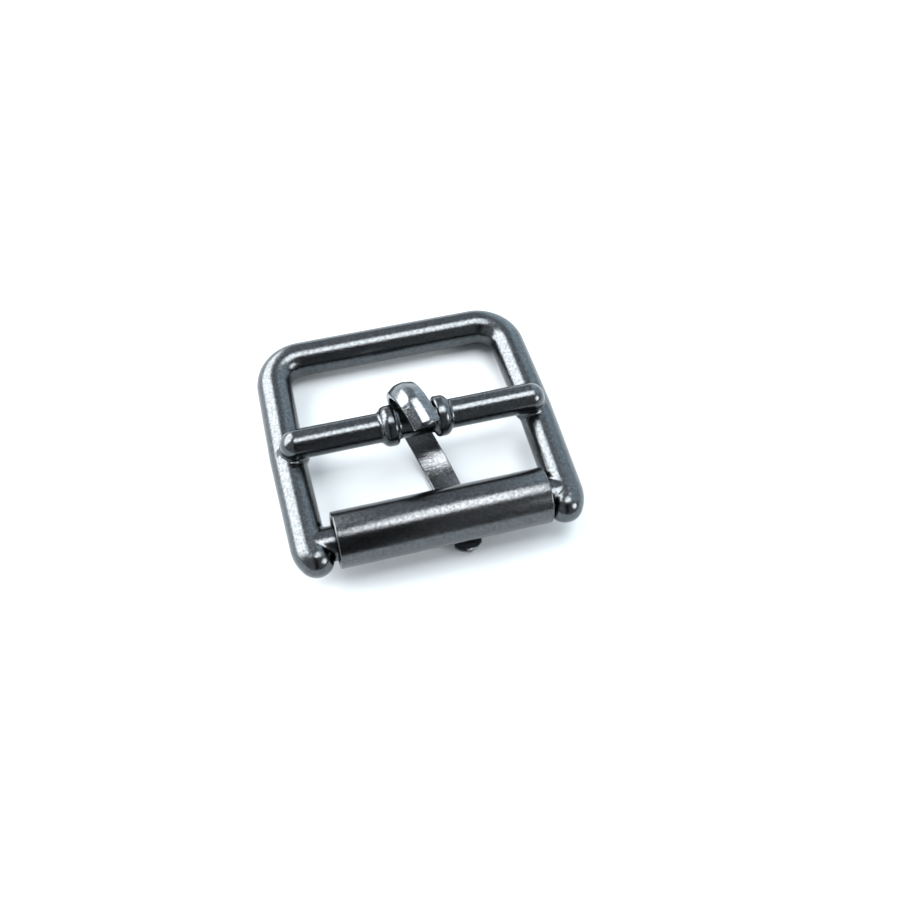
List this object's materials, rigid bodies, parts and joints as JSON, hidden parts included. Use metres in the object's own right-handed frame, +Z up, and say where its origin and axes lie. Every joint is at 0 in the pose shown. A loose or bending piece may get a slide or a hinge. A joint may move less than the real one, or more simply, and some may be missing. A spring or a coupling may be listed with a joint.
{
  "type": "roller buckle",
  "caption": "Roller buckle: rod frame with a raised centre bar, a tube roller that turns on the near bar, and a curled tongue that swings on the centre bar.",
  "frame": {"origin": "on the table, under the middle of the buckle's outline seen from above", "axes": "+X along the roller and the centre bar, +Y from the roller to the far bar, +Z up from the table that the buckle lies on with its front face down"},
  "size_m": [0.0264, 0.0238, 0.0096],
  "materials": {
    "frame_metal": "gunmetal plating",
    "roller_metal": "gunmetal plating",
    "tongue_steel": "plated, finely brushed"
  },
  "bodies": {
    "frame": {"frame": "frame_metal"},
    "roller": {"roller": "roller_metal"},
    "tongue": {"tongue": "tongue_steel"}
  },
  "joints": [
    {"name": "roller_spin", "type": "hinge", "parent": "frame", "child": "roller", "pos_m": [0.0002, -0.00917, 0.00388], "axis": [1, 0, 0], "continuous": true},
    {"name": "tongue_swing", "type": "hinge", "parent": "frame", "child": "tongue", "pos_m": [0, -0.00003, 0.00499], "axis": [1, 0, 0], "range_deg": [0, 120]}
  ]
}
